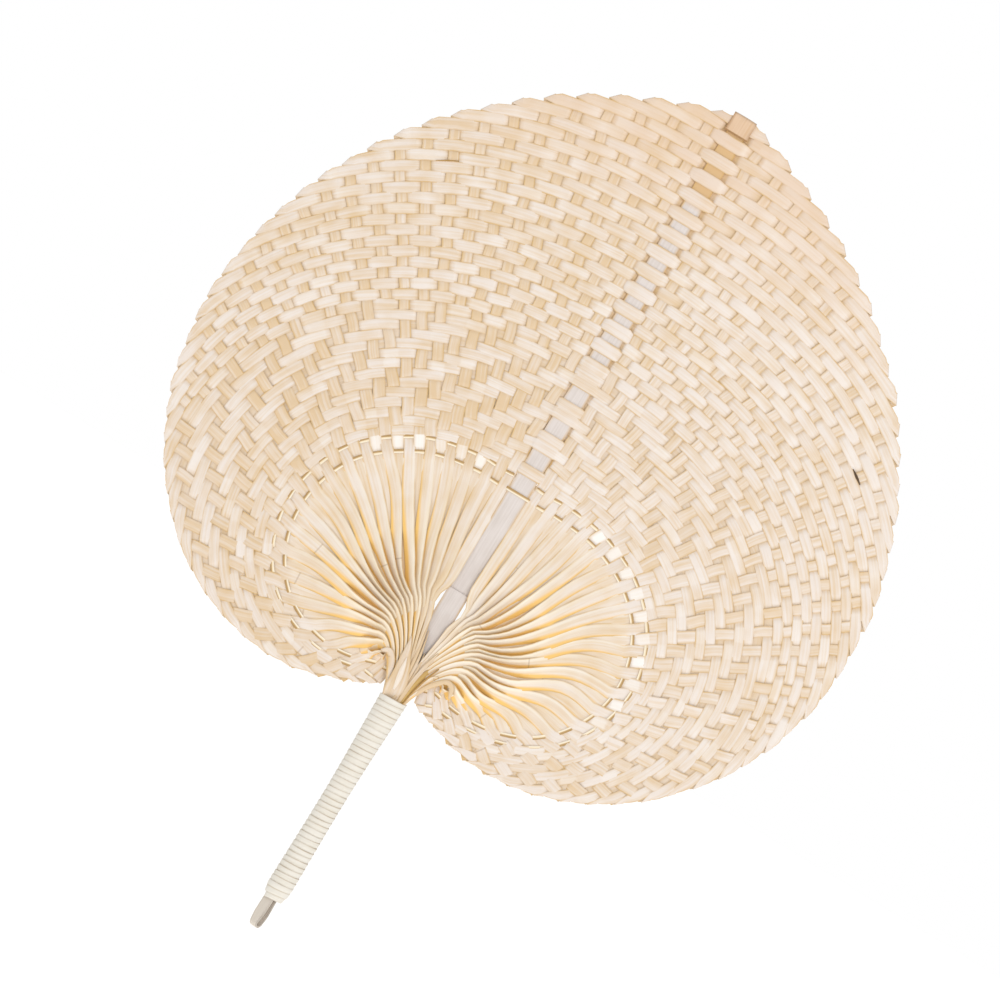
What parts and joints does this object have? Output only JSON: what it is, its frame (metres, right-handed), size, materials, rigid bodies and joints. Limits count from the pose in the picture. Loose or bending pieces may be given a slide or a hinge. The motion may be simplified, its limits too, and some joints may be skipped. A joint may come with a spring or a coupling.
{
  "type": "woven straw fan",
  "caption": "Peach-shaped hand fan woven from flat straw strips round a bamboo spine, with a bound handle and a hanging loop.",
  "frame": {"origin": "middle of the bound handle, on its axis, where a hand holds the fan", "axes": "+Z along the spine from the handle to the tip, -Y out of the front of the leaf, +X to the right as seen from the front"},
  "size_m": [0.3533, 0.0141, 0.4445],
  "materials": {
    "straw": "satin",
    "pale_straw": "satin",
    "tan_straw": "satin",
    "bamboo": "satin",
    "binding": "satin"
  },
  "bodies": {
    "root": {"strip_left_01": "pale_straw", "strip_left_02": "straw", "strip_left_03": "pale_straw", "strip_left_04": "straw", "strip_left_05": "pale_straw", "strip_left_06": "straw", "strip_left_07": "pale_straw", "strip_left_08": "straw", "strip_left_09": "pale_straw", "strip_left_10": "straw", "strip_left_11": "pale_straw", "strip_left_12": "straw", "strip_left_13": "pale_straw", "strip_left_14": "straw", "strip_left_15": "pale_straw", "strip_left_16": "straw", "strip_left_17": "pale_straw", "strip_left_18": "straw", "strip_left_19": "pale_straw", "strip_left_20": "straw", "strip_left_21": "pale_straw", "strip_left_22": "straw", "strip_left_23": "pale_straw", "strip_left_24": "straw", "strip_right_01": "pale_straw", "strip_right_02": "straw", "strip_right_03": "pale_straw", "strip_right_04": "straw", "strip_right_05": "pale_straw", "strip_right_06": "straw", "strip_right_07": "pale_straw", "strip_right_08": "straw", "strip_right_09": "pale_straw", "strip_right_10": "straw", "strip_right_11": "pale_straw", "strip_right_12": "straw", "strip_right_13": "pale_straw", "strip_right_14": "straw", "strip_right_15": "pale_straw", "strip_right_16": "straw", "strip_right_17": "pale_straw", "strip_right_18": "straw", "strip_right_19": "pale_straw", "strip_right_20": "straw", "strip_right_21": "pale_straw", "strip_right_22": "straw", "strip_right_23": "pale_straw", "strip_right_24": "straw", "starter_weft": "tan_straw", "spine_slat": "bamboo", "spine_front_slat": "bamboo", "neck_blade": "pale_straw", "handle_front_lath": "bamboo", "handle_back_lath": "bamboo", "handle_binding": "binding", "tip_clip": "tan_straw", "hanging_loop": "binding"}
  },
  "joints": []
}
